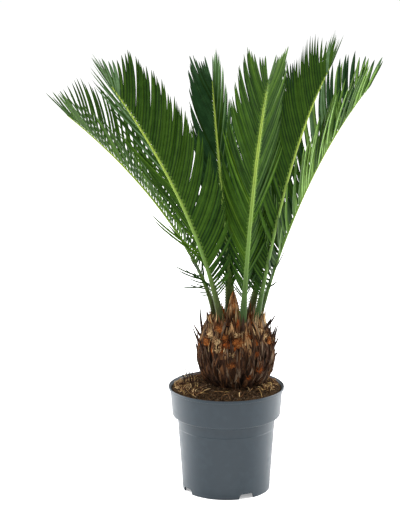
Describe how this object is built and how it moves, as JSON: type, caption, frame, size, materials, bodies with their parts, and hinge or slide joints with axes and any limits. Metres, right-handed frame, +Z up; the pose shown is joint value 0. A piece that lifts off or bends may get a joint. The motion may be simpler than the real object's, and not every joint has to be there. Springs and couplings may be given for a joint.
{
  "type": "potted sago palm",
  "caption": "Young sago palm with a scaly barrel trunk and stiff arching feather-like fronds, in a round tapered nursery pot filled with soil.",
  "frame": {"origin": "middle of the pot's flat underside, on the surface that the pot stands on", "axes": "+Z up along the plant, the front of the plant faces -Y, +X to the viewer's right"},
  "size_m": [0.4829, 0.4663, 0.6938],
  "materials": {
    "pot_plastic": "satin slate blue-grey moulded plastic",
    "soil": "rough dark brown peat with straw-coloured fibres",
    "trunk_bark": "rough dark brown old leaf bases with cream edges and orange wool",
    "bud_husk": "dry tan and orange-brown pointed scales",
    "frond_green": "stiff glossy dark green leaflets on a yellow-green rib"
  },
  "bodies": {
    "root": {"pot": "pot_plastic", "soil": "soil", "trunk": "trunk_bark", "crown_bud": "bud_husk", "frond_front": "frond_green", "frond_front_left": "frond_green", "frond_front_right": "frond_green", "frond_left": "frond_green", "frond_right": "frond_green", "frond_back": "frond_green", "frond_back_right": "frond_green"}
  },
  "joints": []
}
